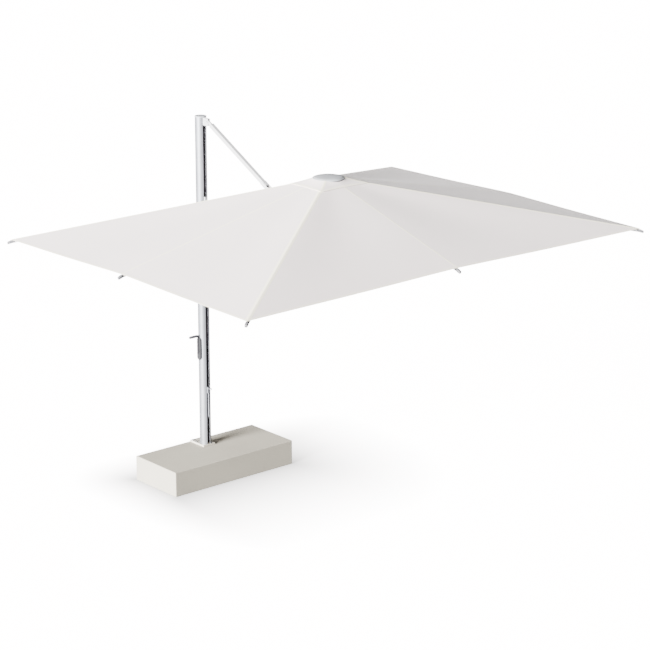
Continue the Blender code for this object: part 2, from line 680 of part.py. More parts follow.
def strut_crossing():
    """Distance from the hub's axis to where the strut's middle line passes through the rear panel."""
    fall = CORNER_FALL / (CANOPY_DEPTH / 2)
    strut = math.tan(STRUT_FALL)
    from_pivot = HUB_X - STRUT_PIVOT_X
    return (STRUT_PIVOT.z - strut * from_pivot - APEX_Z) / (-strut - fall)


def notch(side):
    """Corner points of the half opening for the strut, going outwards along the rear seam."""
    fall = math.atan(CORNER_FALL / (CANOPY_DEPTH / 2))
    half = STRUT_SIZE / 2 / math.sin(STRUT_FALL + fall) + STRUT_OPENING_MARGIN
    centre = strut_crossing()
    deep = max(STRUT_SIZE / 2 + RUNNING + STRUT_PLATE_THICKNESS, ARM_WIDTH / 2) + STRUT_OPENING_MARGIN / 2
    near = -(centre - half)
    far = -(centre + half)
    return [(near, side * SEAM / 2), (near, side * deep), (far, side * deep), (far, side * SEAM / 2)]


def towards(point, rib_end, amount):
    """Shift a seam point square to its seam, towards the rib."""
    along = Vector((point.x, point.y)).normalized()
    across = Vector((-along.y, along.x))
    if across.dot(Vector((rib_end.x, rib_end.y))) < 0:
        across = -across
    return across * amount


def half_panel(bm, rib_end, other_end, seam_end, extra):
    """Flat half panel from a rib to the seam beside it, as a top and a bottom face."""
    height = plane_height(rib_end, other_end)
    shift = towards(seam_end, rib_end, SEAM / 2)
    rib_reach = math.hypot(rib_end.x, rib_end.y)
    seam_reach = math.hypot(seam_end.x, seam_end.y)
    rib_side = Vector((rib_end.x, rib_end.y)) / rib_reach
    seam_side = Vector((seam_end.x, seam_end.y)) / seam_reach
    spots = []
    for step in range(HOLE_STEPS + 1):
        spot = rib_side.lerp(seam_side, step / HOLE_STEPS).normalized() * CANOPY_HOLE_RADIUS
        spots.append(spot + shift * (step / HOLE_STEPS))
    spots += extra
    spots.append(Vector((seam_end.x, seam_end.y)) + shift)
    spots.append((rib_end.x, rib_end.y))
    top = [bm.verts.new((x, y, height(x, y))) for x, y in spots]
    bottom = [bm.verts.new((x, y, height(x, y) - CANOPY_THICKNESS)) for x, y in spots]
    bm.faces.new(top)
    bm.faces.new(bottom)
    for index in range(len(spots) - 1):
        bm.faces.new((top[index], top[index + 1], bottom[index + 1], bottom[index]))


def build_canopy_sector(index, fabric):
    """Fabric over one rib, out to the middle of the panel on each side of it."""
    name, along_x, along_y = RIB_ENDS[index]
    rib_end = edge_point(along_x, along_y)
    bm = bmesh.new()
    for step in (-1, 1):
        neighbour = index + step
        if 0 <= neighbour < len(RIB_ENDS):
            other = edge_point(*RIB_ENDS[neighbour][1:])
            half_panel(bm, rib_end, other, (rib_end + other) / 2, [])
        else:
            half_panel(bm, rib_end, rear_point(), rear_point(), notch(along_y))
    bmesh.ops.remove_doubles(bm, verts=bm.verts, dist=1e-6)
    layout = rib_layout(along_x, along_y)
    origin = in_plane(layout, layout["hinge"])
    for vert in bm.verts:
        vert.co += Vector((HUB_X, 0, 0)) - origin
    add_object("canopy_" + name, bm, fabric, origin)


def build_vent_flap(fabric):
    """Second layer over the apex: a low frame of eight flat pieces, clear of the cap and the panels."""
    ends = [edge_point(x, y) for _, x, y in RIB_ENDS] + [rear_point()]
    rings = []
    for lift, name in ((FLAP_LIFT, "low"), (FLAP_LIFT + FLAP_THICKNESS, "high")):
        inner = []
        outer = []
        for end in ends:
            reach = math.hypot(end.x, end.y)
            fall = (APEX_Z - end.z) / reach
            share = max(abs(end.x) / (FLAP_DEPTH / 2), abs(end.y) / (FLAP_LENGTH / 2))
            far = Vector((end.x / share, end.y / share))
            near = Vector((end.x, end.y)) * (FLAP_HOLE_RADIUS / reach)
            inner.append((near.x, near.y, APEX_Z - fall * near.length + lift + FLAP_RISE))
            outer.append((far.x, far.y, APEX_Z - fall * far.length + lift))
        rings.append((inner, outer))
    bm = bmesh.new()
    low_in, low_out, high_in, high_out = [
        [bm.verts.new(spot) for spot in ring] for pair in rings for ring in pair]
    count = len(ends)
    for index in range(count):
        after = (index + 1) % count
        bm.faces.new((high_in[index], high_out[index], high_out[after], high_in[after]))
        bm.faces.new((low_in[index], low_in[after], low_out[after], low_out[index]))
        bm.faces.new((low_out[index], low_out[after], high_out[after], high_out[index]))
        bm.faces.new((low_in[index], high_in[index], high_in[after], low_in[after]))
    add_object("vent_flap", bm, fabric, (HUB_X, 0, 0))


# ---------------------------------------------------------------- crank

def build_crank(metal, dark, steel):
    half = CRANK_HOUSING_WIDTH / 2
    outline = circle(half, (0, CRANK_HOUSING_HIGH - half), ARC_STEPS, 0, 180)
    outline += circle(half, (0, CRANK_HOUSING_LOW + half), ARC_STEPS, 180, 180)
    body = prism_mesh(outline, -CRANK_HOUSING_FACE, CRANK_HOUSING_WRAP - MAST_RADIUS, "Y")
    housing = add_object("crank_housing", body, metal)
    round_mast = prism_mesh(circle(MAST_RADIUS + GAP, segments=ROUND_STEPS), CRANK_HOUSING_LOW - CUT_PAST,
                            CRANK_HOUSING_HIGH + CUT_PAST)
    combine(housing, add_object("crank_housing_saddle", round_mast), "DIFFERENCE")
    bore_y(housing, CRANK_SHAFT_RADIUS + RUNNING, (0, 0, CRANK_Z))
    build_drum(dark, steel)
    build_crank_handle(metal, dark)


def build_drum(dark, steel):
    half = DRUM_LENGTH / 2
    shaft_end = CRANK_HOUSING_FACE + CRANK_STANDOFF
    shaft = prism_mesh(circle(CRANK_SHAFT_RADIUS), -shaft_end, half + CRANK_SHAFT_STUB, "Y")
    add_object("crank_shaft", shaft, steel, (0, 0, CRANK_Z), rounded=True)
    bore = CRANK_SHAFT_RADIUS + GAP
    profile = [(bore, -half), (DRUM_FLANGE_RADIUS, -half), (DRUM_FLANGE_RADIUS, -half + DRUM_FLANGE),
               (DRUM_RADIUS, -half + DRUM_FLANGE), (DRUM_RADIUS, half - DRUM_FLANGE),
               (DRUM_FLANGE_RADIUS, half - DRUM_FLANGE), (DRUM_FLANGE_RADIUS, half), (bore, half)]
    bm = bmesh.new()
    rings = [[bm.verts.new((x, y, z)) for x, y in circle(r)] for r, z in profile]
    for lower, upper in zip(rings, rings[1:] + rings[:1]):
        for index in range(PIN_STEPS):
            after = (index + 1) % PIN_STEPS
            bm.faces.new((lower[index], lower[after], upper[after], upper[index]))
    add_object("cord_drum", bm, dark, (0, 0, CRANK_Z), (math.radians(90), 0, 0), rounded=True)


def build_crank_handle(metal, dark):
    near = CRANK_HOUSING_FACE + CRANK_STANDOFF + GAP
    far = near + CRANK_ARM_THICKNESS
    half = CRANK_ARM_WIDTH / 2
    outline = circle(half, (0, CRANK_SWING), ARC_STEPS, 0, 180) + circle(half, (0, 0), ARC_STEPS, 180, 180)
    arm = add_object("crank_arm", prism_mesh(outline, -far, -near, "Y"), metal, (0, 0, CRANK_Z))
    end = CRANK_GRIP_LENGTH
    spindle_end = far + end - CRANK_SPINDLE_SHORT
    spindle = prism_mesh(circle(CRANK_SPINDLE_RADIUS, (0, CRANK_SWING)), -spindle_end, -near - JOIN, "Y")
    combine(arm, add_object("crank_arm_spindle", spindle, None, (0, 0, CRANK_Z)), "UNION")
    profile = [(0, RUNNING), (CRANK_GRIP_NECK, RUNNING), (CRANK_GRIP_RADIUS, CRANK_GRIP_TAPER),
               (CRANK_GRIP_RADIUS, end - CRANK_GRIP_TAPER), (CRANK_GRIP_END, end), (0, end)]
    centre = (0, -far, CRANK_Z + CRANK_SWING)
    turn = (math.radians(90), 0, 0)
    grip = add_object("crank_grip", turned_mesh(profile), dark, centre, turn, rounded=True)
    bore = prism_mesh(circle(CRANK_SPINDLE_RADIUS + GAP), far - spindle_end - 2 * JOIN, CUT_PAST, "Y")
    combine(grip, add_object("crank_grip_hole", bore, None, centre), "DIFFERENCE")


# ---------------------------------------------------------------- lock lever

def build_lock(metal, steel):
    """Small block in the slot with a hanging lever and a pull knob above it."""
    half_slot = SLOT_WIDTH / 2 - RUNNING
    low = LEVER_PIVOT_Z - LEVER_BRACKET_BELOW
    high = low + LEVER_BRACKET_HEIGHT
    lever_half = LEVER_WIDTH / 2 + RUNNING
    front = LEVER_PIVOT_X + LEVER_BRACKET_FRONT
    back = BRACKET_BLOCK_BACK
    block_half = BRACKET_BLOCK_WIDTH / 2
    outline = [(back, -block_half), (BRACKET_BLOCK_FRONT, -block_half), (BRACKET_BLOCK_FRONT, -half_slot),
               (front, -half_slot), (front, half_slot), (BRACKET_BLOCK_FRONT, half_slot),
               (BRACKET_BLOCK_FRONT, block_half), (back, block_half)]
    bracket = add_object("lever_bracket", prism_mesh(outline, low, high), metal)
    mouth = box_mesh((LEVER_PIVOT_X - LEVER_MOUTH_DEPTH, -lever_half, low - CUT_PAST),
                     (front + CUT_PAST, lever_half, LEVER_PIVOT_Z + LEVER_MOUTH_ABOVE))
    combine(bracket, add_object("lever_bracket_mouth", mouth), "DIFFERENCE")
    rod = prism_mesh(circle(KNOB_ROD_RADIUS + GAP, (0, KNOB_Z)), back - CUT_PAST, front + CUT_PAST, "X")
    combine(bracket, add_object("lever_bracket_hole", rod), "DIFFERENCE")
    build_lever(metal)
    build_knob(steel)


def build_lever(metal):
    half = LEVER_WIDTH / 2
    thick = LEVER_THICKNESS / 2
    low = -LEVER_LENGTH
    outline = circle(thick, (0, 0), ARC_STEPS, 180, -180)
    outline += [(thick, low + LEVER_KICK_HEIGHT), (thick + LEVER_KICK, low), (LEVER_KICK - thick, low),
                (-thick, low + LEVER_KICK_HEIGHT)]
    pivot = (LEVER_PIVOT_X, 0, LEVER_PIVOT_Z)
    chamfer(add_object("lock_lever", prism_mesh(outline, -half, half, "Y"), metal, pivot), LEVER_EDGE)


def build_knob(steel):
    """Rod with a ball end, drawn as one turned piece and laid along X."""
    angles = [math.radians(angle) for angle in range(KNOB_NECK_DEGREES, 180, KNOB_STEP_DEGREES)]
    ball = [(KNOB_BALL_RADIUS * math.sin(a), -KNOB_BALL_RADIUS * math.cos(a)) for a in angles]
    start = BRACKET_BLOCK_BACK - KNOB_REACH
    profile = [(0, start), (KNOB_ROD_RADIUS, start), (KNOB_ROD_RADIUS, ball[0][1] - KNOB_NECK)]
    profile += ball + [(0, KNOB_BALL_RADIUS)]
    add_object("lock_knob", turned_mesh(profile), steel, (KNOB_REACH, 0, KNOB_Z), (0, math.radians(90), 0),
               rounded=True)


# ---------------------------------------------------------------- assembly

def build():
    clear_scene()
    stone = material("cast_stone", (0.62, 0.60, 0.56), 0.85)
    silver = material("silver_powder_coat", (0.62, 0.63, 0.66), 0.38, 0.6)
    pale = material("pale_metal", (0.78, 0.78, 0.80), 0.35, 0.5)
    steel = material("stainless_steel", (0.55, 0.55, 0.56), 0.28, 1.0)
    dark = material("dark_plastic", (0.05, 0.05, 0.055), 0.55)
    grey = material("grey_plastic", (0.22, 0.22, 0.23), 0.5)
    cap_grey = material("cap_grey", (0.48, 0.49, 0.52), 0.42)
    cloth = material("canopy_cloth", (0.80, 0.77, 0.75), 0.9)
    paint = material("base_paint", (0.62, 0.60, 0.56), 0.5)
    build_base(stone, paint)
    build_mast(silver, dark, cap_grey)
    build_top_bracket(pale, steel)
    build_strut(pale, steel)
    build_arm(pale)
    build_carriage(pale, steel)
    build_hub(grey, pale, steel, cap_grey)
    build_runner(grey)
    for index, (name, along_x, along_y) in enumerate(RIB_ENDS):
        layout = rib_layout(along_x, along_y)
        build_rib(name, layout, pale)
        build_tip(name, layout, grey)
        build_stretcher(name, layout, pale)
        build_canopy_sector(index, cloth)
    build_vent_flap(cloth)
    build_crank(grey, dark, steel)
    build_lock(silver, steel)


build()
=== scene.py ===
"""Garden scene of a cantilever parasol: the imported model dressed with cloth, coatings and small parts."""
import json
import math

import bmesh
import bpy
from mathutils import Euler, Matrix, Vector


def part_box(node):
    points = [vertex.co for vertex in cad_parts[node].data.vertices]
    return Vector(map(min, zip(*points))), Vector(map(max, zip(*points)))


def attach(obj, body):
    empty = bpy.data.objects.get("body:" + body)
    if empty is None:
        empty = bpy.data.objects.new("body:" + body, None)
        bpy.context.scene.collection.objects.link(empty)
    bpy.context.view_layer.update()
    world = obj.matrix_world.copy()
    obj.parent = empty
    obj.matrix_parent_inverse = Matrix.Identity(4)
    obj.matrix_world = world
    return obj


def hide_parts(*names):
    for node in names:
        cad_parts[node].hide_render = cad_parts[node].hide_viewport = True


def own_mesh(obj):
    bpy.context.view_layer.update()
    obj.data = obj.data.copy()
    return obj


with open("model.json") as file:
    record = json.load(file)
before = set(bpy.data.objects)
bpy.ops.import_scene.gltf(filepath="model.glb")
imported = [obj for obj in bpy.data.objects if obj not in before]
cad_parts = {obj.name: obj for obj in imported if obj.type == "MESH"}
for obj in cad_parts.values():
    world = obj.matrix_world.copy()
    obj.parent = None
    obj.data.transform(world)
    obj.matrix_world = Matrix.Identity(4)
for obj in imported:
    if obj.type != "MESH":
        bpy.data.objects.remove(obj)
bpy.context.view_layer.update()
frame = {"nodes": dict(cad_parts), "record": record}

NODES = frame["nodes"]
RECORD = frame["record"]
BODY_OF = {node: body for body, nodes in RECORD["behaviour"]["bodies"].items() for node in nodes}
SLOT_OF = {part["node"]: part["material_slot"] for part in RECORD["subparts"]}
MAST_BODY = BODY_OF["base_block"]

# Lengths are in metres, and angles written as whole numbers are in degrees.
# Canopy, round the hub's axis
HUB_X = 1.664
APEX_Z = 2.930
HALF_DEPTH = 1.500
HALF_LENGTH = 2.033
CORNER_FALL = 0.475
MIDDLE_FALL = 0.446
HOLE_RADIUS = 0.136
CLOTH_THICKNESS = 0.0015
PANEL_SAG = 0.010
REAR_SAG = 0.016
HEM_SAG = 0.003
HEM_WIDTH = 0.024
HIP_TAPE = 0.019
TAPE_EDGE = 0.002
STITCH_INSET = 0.004
STITCH_NEAR = 0.0006
STITCH_FAR = 0.0012
STITCHES_PER_METRE = 124.14
MIDDLE_TAPE_SHIFT = 0.55 * HIP_TAPE
PANEL_COLUMNS = 18
PANEL_ROWS = 44

# Opening in the rear seam, round the strut
STRUT_HALF = 0.0290
NOTCH_NEAR = 0.704
NOTCH_FAR = 0.772

# Vent flap
FLAP_HALF_DEPTH = 0.195
FLAP_HALF_LENGTH = 0.245
FLAP_INNER = 0.1310
FLAP_LIFT = 0.0035
FLAP_RISE = 0.0120
FLAP_THICKNESS = 0.0018
FLAP_ROWS = 12
FLAP_STEP = 0.09
FLAP_HEM_SHARE = 0.8
FLAP_TAPE_SHIFT = 0.006
FLAP_RUN = 0.2

# Ribs, in the plane of each one
RIB_HINGE_RADIUS = 0.140
RIB_SINK = 0.006
RIB_HEIGHT = 0.024
RIB_SETBACK = 0.030
TIP_OVERHANG = 0.028
RIVET_SETBACK = 0.006
RIVET_DROP = 0.009
RIVET_SIDE = 0.0096
RIVET_RADIUS = 0.0048
RIVET_DEPTH = 0.0022

# Mast, its slot and its liner
MAST_OUTER = 0.050
MAST_INNER = 0.0455
MAST_STEPS = 96
HALF_SLOT = 0.0142
SLOT_LIP = 0.0016
SLOT_LIP_TURN = 0.02
LINER_OUTER = 0.0452
LINER_INNER = 0.0436
LINER_STEPS = 72
# Painted shade strips over the slot's sides: their gap from the lips and their width
SHADE_STRIP_GAP = 0.0001
SHADE_STRIP_WIDTH = 0.0004
WELD_START = 20
WELD_STEPS = 72

# Light and floor
SUN_ENERGY = 36.0
SUN_ANGLE = 27
SUN_DIRECTION = Vector((0.118, -0.972, 0.206))
SKY_STRENGTH = 0.36
FLOOR_SIZE = 160
# Painted shadow on the floor round the base: how far it reaches, the floor's glow at the base and beyond
# that reach, and how fast it ends on each side, a larger number ending it sooner
SHADE_REACH = 1.5
SHADE_LOW = 1.3
SHADE_HIGH = 15.5
DARK_SIDE_X = 1.0
DARK_SIDE_Y = 1.2
LIT_SIDE_X = 2.6
LIT_SIDE_Y = 2.8

# Each rib: name, then the way its outer end lies along X and along Y
RIB_ENDS = (
    ("rear_right", -1, -1), ("right", 0, -1), ("front_right", 1, -1), ("front", 1, 0),
    ("front_left", 1, 1), ("left", 0, 1), ("rear_left", -1, 1),
)


# ---------------------------------------------------------------- materials

class Shader:
    """A material with a Principled shader, and short ways to wire textures into it."""

    def __init__(self, name, colour, roughness, metallic=0.0):
        self.material = bpy.data.materials.new(name)
        self.material.use_nodes = True
        self.tree = self.material.node_tree
        self.main = self.tree.nodes["Principled BSDF"]
        self.main.inputs["Base Color"].default_value = (*colour, 1)
        self.main.inputs["Roughness"].default_value = roughness
        self.main.inputs["Metallic"].default_value = metallic
        self.colour = colour
        self.place = self.node("ShaderNodeTexCoord").outputs["Object"]

    def node(self, kind, **values):
        made = self.tree.nodes.new(kind)
        for key, value in values.items():
            setattr(made, key, value)
        return made

    def wire(self, source, target):
        self.tree.links.new(source, target)

    def stretched(self, scale):
        mapping = self.node("ShaderNodeMapping")
        mapping.inputs["Scale"].default_value = scale
        self.wire(self.place, mapping.inputs["Vector"])
        return mapping.outputs["Vector"]

    def noise(self, scale, detail=3.0, stretch=(1, 1, 1)):
        made = self.node("ShaderNodeTexNoise")
        made.inputs["Scale"].default_value = scale
        made.inputs["Detail"].default_value = detail
        self.wire(self.stretched(stretch), made.inputs["Vector"])
        return made.outputs["Fac"]

    def pits(self, scale):
        made = self.node("ShaderNodeTexVoronoi", feature="F1")
        made.inputs["Scale"].default_value = scale
        self.wire(self.place, made.inputs["Vector"])
        return made.outputs["Distance"]

    def threads(self, pitch, direction):
        """Parallel threads, one every pitch; a wave texture of scale 1 has bands of pi / 10."""
        made = self.node("ShaderNodeTexWave", wave_type="BANDS", bands_direction=direction)
        made.inputs["Scale"].default_value = 0.31416 / pitch
        made.inputs["Distortion"].default_value = 0.6
        made.inputs["Detail"].default_value = 1.0
        made.inputs["Detail Scale"].default_value = 2.0
        self.wire(self.place, made.inputs["Vector"])
        return made.outputs["Fac"]

    def attribute(self, name):
        return self.node("ShaderNodeAttribute", attribute_name=name).outputs["Fac"]

    def math(self, operation, first, second=None):
        made = self.node("ShaderNodeMath", operation=operation)
        for socket, value in zip(made.inputs, (first, second)):
            if value is None:
                continue
            if isinstance(value, (int, float)):
                socket.default_value = value
            else:
                self.wire(value, socket)
        return made.outputs[0]

    def span(self, value, low, high, to_low=0.0, to_high=1.0):
        made = self.node("ShaderNodeMapRange")
        limits = (("From Min", low), ("From Max", high), ("To Min", to_low), ("To Max", to_high))
        for key, number in limits:
            made.inputs[key].default_value = number
        self.wire(value, made.inputs["Value"])
        return made.outputs["Result"]

    def mix(self, amount, first, second):
        made = self.node("ShaderNodeMix", data_type="RGBA")
        for socket, value in ((made.inputs[0], amount), (made.inputs[6], first), (made.inputs[7], second)):
            if isinstance(value, tuple):
                socket.default_value = (*value, 1)
            else:
                self.wire(value, socket)
        return made.outputs[2]

    def shade(self, factor):
        return tuple(min(1.0, channel * factor) for channel in self.colour)

    def base_colour(self, source):
        self.wire(source, self.main.inputs["Base Color"])

    def roughness(self, source):
        self.wire(source, self.main.inputs["Roughness"])

    def bump(self, height, strength, distance, below=None):
        made = self.node("ShaderNodeBump")
        made.inputs["Strength"].default_value = strength
        made.inputs["Distance"].default_value = distance
        self.wire(height, made.inputs["Height"])
        if below is not None:
            self.wire(below, made.inputs["Normal"])
        return made.outputs["Normal"]

    def normal(self, source):
        self.wire(source, self.main.inputs["Normal"])


def stitch_line(made, distance, width):
    """Thin line just inside a doubled band of cloth, given the distance from the band's outer edge."""
    offset = made.math("ABSOLUTE", made.math("SUBTRACT", distance, width - STITCH_INSET))
    return made.span(offset, STITCH_FAR, STITCH_NEAR)


def canvas(name, colour, tape):
    """Plain-woven outdoor cloth: two sets of threads, soft puckers, taped seams and a stitched hem."""
    made = Shader(name, colour, 0.88)
    made.main.inputs["Sheen Weight"].default_value = 0.18
    made.main.inputs["Sheen Roughness"].default_value = 0.5
    made.main.inputs["Specular IOR Level"].default_value = 0.2
    warp = made.threads(0.0030, "X")
    weft = made.threads(0.0034, "Y")
    weave = made.math("MULTIPLY", warp, weft)
    cloud = made.noise(2.3, 4.0)
    worn = made.mix(made.span(cloud, 0.3, 0.75), made.shade(0.985), made.shade(1.015))
    woven = made.mix(made.span(weave, 0.0, 1.0, 0.0, 0.10), worn, made.shade(0.82))
    hem = made.attribute("hem")
    hip = made.attribute("hip")
    band = made.span(hem, HEM_WIDTH, HEM_WIDTH - TAPE_EDGE)
    taped = made.span(hip, HIP_TAPE, HIP_TAPE - TAPE_EDGE)
    doubled = made.math("MAXIMUM", made.math("MULTIPLY", band, 0.60), taped)
    seamed = made.mix(doubled, woven, tape)
    phase = made.math("MULTIPLY", made.attribute("run"), 2 * math.pi * STITCHES_PER_METRE)
    dashes = made.span(made.math("SINE", phase), -0.2, 0.2)
    lines = made.math("MAXIMUM", stitch_line(made, hem, HEM_WIDTH), stitch_line(made, hip, HIP_TAPE))
    stitches = made.math("MULTIPLY", lines, dashes)
    made.base_colour(made.mix(made.math("MULTIPLY", stitches, 0.5), seamed, made.shade(0.72)))
    puckers = made.bump(made.noise(9.0, 2.0), 0.10, 0.006)
    raised = made.math("SUBTRACT", made.math("MAXIMUM", band, taped), made.math("MULTIPLY", stitches, 0.7))
    seams = made.bump(raised, 0.5, 0.0008, puckers)
    made.normal(made.bump(weave, 0.22, 0.0005, seams))
    made.roughness(made.span(cloud, 0.2, 0.8, 0.82, 0.93))
    return made.material


def powder_coat(name, colour, metallic, roughness):
    """Fine-grained baked coating with faint handling marks."""
    made = Shader(name, colour, roughness, metallic)
    grain = made.noise(900.0, 2.0)
    film = made.noise(5.0, 4.0)
    made.base_colour(made.mix(made.span(film, 0.3, 0.7), made.shade(0.96), made.shade(1.03)))
    made.roughness(made.span(film, 0.25, 0.75, roughness - 0.05, roughness + 0.08))
    made.normal(made.bump(grain, 0.12, 0.0003))
    return made.material


def turned_steel(name, colour, roughness):
    """Bright steel with fine tool marks across the piece."""
    made = Shader(name, colour, roughness, 1.0)
    marks = made.noise(60.0, 3.0, (1, 40, 1))
    smears = made.noise(14.0, 3.0)
    made.base_colour(made.mix(made.span(smears, 0.3, 0.7), made.shade(0.93), made.shade(1.04)))
    made.roughness(made.span(marks, 0.3, 0.7, roughness - 0.05, roughness + 0.12))
    made.normal(made.bump(marks, 0.08, 0.0002))
    return made.material


def moulded(name, colour, roughness):
    """Moulded plastic with a spark-eroded grain and dusty patches."""
    made = Shader(name, colour, roughness)
    made.main.inputs["Specular IOR Level"].default_value = 0.45
    grain = made.noise(620.0, 2.0)
    dust = made.noise(18.0, 5.0)
    made.base_colour(made.mix(made.span(dust, 0.45, 0.8, 0.0, 0.35), made.shade(1.0), made.shade(1.35)))
    made.roughness(made.span(dust, 0.3, 0.8, roughness - 0.04, roughness + 0.12))
    made.normal(made.bump(grain, 0.15, 0.0003))
    return made.material


def cast(name, colour):
    """Fine cast surface: cloudy tone, sand grain, and small air pits darkened in colour as painted shade.
    """
    made = Shader(name, colour, 0.86)
    made.main.inputs["Specular IOR Level"].default_value = 0.3
    cloud = made.noise(3.2, 5.0)
    sand = made.noise(420.0, 3.0)
    hollows = made.span(made.pits(55.0), 0.05, 0.11)
    rare = made.span(made.noise(30.0, 1.0), 0.60, 0.64)
    depth = made.math("MULTIPLY", made.math("SUBTRACT", 1.0, hollows), rare)
    pitting = made.math("SUBTRACT", 1.0, depth)
    toned = made.mix(made.span(cloud, 0.3, 0.7), made.shade(0.95), made.shade(1.04))
    grained = made.mix(made.span(sand, 0.35, 0.65, 0.0, 0.22), toned, made.shade(0.86))
    # Painted shade: the air pits are darkened in colour, as if shaded inside.
    made.base_colour(made.mix(pitting, made.shade(0.72), grained))
    made.roughness(made.span(cloud, 0.2, 0.8, 0.80, 0.94))
    made.normal(made.bump(pitting, 0.35, 0.0015, made.bump(sand, 0.20, 0.0006)))
    return made.material


FINISHES = {
    "cast_stone": cast("cast_stone_look", (0.390, 0.362, 0.298)),
    "silver_powder_coat": powder_coat("silver_coat_look", (0.30, 0.31, 0.34), 0.70, 0.44),
    "pale_metal": powder_coat("pale_metal_look", (0.55, 0.55, 0.56), 0.20, 0.42),
    "stainless_steel": turned_steel("steel_look", (0.50, 0.50, 0.51), 0.30),
    "dark_plastic": moulded("dark_plastic_look", (0.060, 0.060, 0.066), 0.55),
    "grey_plastic": moulded("grey_plastic_look", (0.110, 0.110, 0.116), 0.48),
    "cap_grey": moulded("cap_look", (0.36, 0.37, 0.39), 0.36),
    "canopy_cloth": canvas("canopy_look", (0.800, 0.715, 0.695), (0.930, 0.870, 0.690)),
    "base_paint": powder_coat("base_paint_look", (0.480, 0.450, 0.385), 0.0, 0.50),
}
SLOT_LINING = moulded("slot_lining_look", (0.210, 0.210, 0.235), 0.60)
CRANK_BODY = moulded("crank_body_look", (0.022, 0.022, 0.024), 0.55)
OWN_FINISH = {"slot_liner": SLOT_LINING, "crank_housing": CRANK_BODY, "crank_arm": CRANK_BODY}


# ---------------------------------------------------------------- helpers

def link(name, mesh, slot, angle=35):
    mesh.materials.clear()
    mesh.materials.append(FINISHES[slot])
    mesh.shade_smooth()
    mesh.set_sharp_from_angle(angle=math.radians(angle))
    made = bpy.data.objects.new(name, mesh)
    bpy.context.scene.collection.objects.link(made)
    return made


def to_mesh(name, bm):
    mesh = bpy.data.meshes.new(name)
    bm.to_mesh(mesh)
    bm.free()
    return mesh


def from_bmesh(name, bm, slot, angle=35):
    bmesh.ops.recalc_face_normals(bm, faces=bm.faces)
    return link(name, to_mesh(name, bm), slot, angle)


def soften(piece, width):
    edge = piece.modifiers.new("edge", "BEVEL")
    edge.width = width
    edge.segments = 2
    edge.limit_method = "ANGLE"
    edge.angle_limit = math.radians(40)


def thicken(cloth, thickness):
    """Give a cloth surface its thickness, on its underside."""
    thick = cloth.modifiers.new("cloth", "SOLIDIFY")
    thick.thickness = thickness
    thick.offset = -1


def stand_for(piece, node):
    """Carry a piece on a CAD node's body, in place of that node."""
    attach(piece, BODY_OF[node])
    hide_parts(node)


def dress(node, width):
    """Copy of a rigid CAD node with joined faces, rounded edges and its finish."""
    bm = bmesh.new()
    bm.from_mesh(NODES[node].data)
    bmesh.ops.remove_doubles(bm, verts=bm.verts, dist=1e-5)
    bmesh.ops.dissolve_limit(bm, verts=bm.verts, edges=bm.edges, angle_limit=math.radians(0.5))
    piece = link(node + "_look", to_mesh(node + "_look", bm), SLOT_OF[node])
    if node in OWN_FINISH:
        piece.data.materials[0] = OWN_FINISH[node]
    if width:
        soften(piece, width)
    stand_for(piece, node)


def sweep_rings(bm, rings):
    """Skin over matching rings of points, with a cap at each end."""
    loops = [[bm.verts.new(point) for point in ring] for ring in rings]
    for lower, upper in zip(loops, loops[1:]):
        for index in range(len(lower)):
            after = (index + 1) % len(lower)
            bm.faces.new((lower[index], lower[after], upper[after], upper[index]))
    bm.faces.new(loops[0])
    bm.faces.new(loops[-1])


def upright(profile, bottom, top):
    """Solid with one outline in X and Y, from bottom to top."""
    bm = bmesh.new()
    sweep_rings(bm, [[Vector((x, y, z)) for x, y in profile] for z in (bottom, top)])
    return bm


def polar(radius, turn):
    return radius * math.cos(turn), radius * math.sin(turn)


def arc(radius, turns):
    return [polar(radius, turn) for turn in turns]


def circle(radius, height, segments):
    turns = [2 * math.pi * index / segments for index in range(segments)]
    return [Vector((x, y, height)) for x, y in arc(radius, turns)]


def turned(name, profile, slot, matrix, segments=48, angle=35):
    """Solid of revolution about local Z, from (radius, height) points."""
    bm = bmesh.new()
    sweep_rings(bm, [circle(max(radius, 1e-4), height, segments) for radius, height in profile])
    bm.transform(matrix)
    return from_bmesh(name, bm, slot, angle)


# ---------------------------------------------------------------- canopy

def rib_end(along_x, along_y):
    fall = CORNER_FALL if along_x and along_y else MIDDLE_FALL
    return Vector((along_x * HALF_DEPTH, along_y * HALF_LENGTH, -fall))


def rib_matrix(along_x, along_y):
    """Frame of a rib: X runs outwards along it, Z is its upper side, and the origin is its hinge."""
    end = rib_end(along_x, along_y)
    reach = math.hypot(end.x, end.y)
    slope = math.atan2(-end.z, reach)
    azimuth = math.atan2(end.y, end.x)
    crest = APEX_Z - RIB_HINGE_RADIUS * math.tan(slope)
    x, y = polar(RIB_HINGE_RADIUS, azimuth)
    spot = Vector((HUB_X + x, y, crest - RIB_SINK - RIB_HEIGHT / math.cos(slope)))
    matrix = Matrix.Translation(spot) @ Euler((0, slope, azimuth)).to_matrix().to_4x4()
    length = (reach - RIB_SETBACK - RIB_HINGE_RADIUS) / math.cos(slope)
    tip = (reach + TIP_OVERHANG - RIB_HINGE_RADIUS) / math.cos(slope)
    return matrix, azimuth, length, tip


REAR_MIDDLE = Vector((-HALF_DEPTH, 0, -CORNER_FALL))


def fall_plane(first, second):
    """Height below the apex, over any x and y, of the plane through the apex and two points."""
    normal = first.cross(second)
    return lambda x, y: -(normal.x * x + normal.y * y) / normal.z


def smooth_sag(across, outward, depth):
    """Dip of a panel: nothing over the ribs, most halfway between them, a little left at the hem."""
    between = math.sin(math.pi * across) ** 2
    return between * (depth * math.sin(math.pi * outward) + HEM_SAG * outward ** 2)


def cloth_layers(bm):
    """Values that the cloth's finish reads: distances to the hem and to the rib, and run along a seam."""
    return {key: bm.verts.layers.float.new(key) for key in ("hem", "hip", "run")}


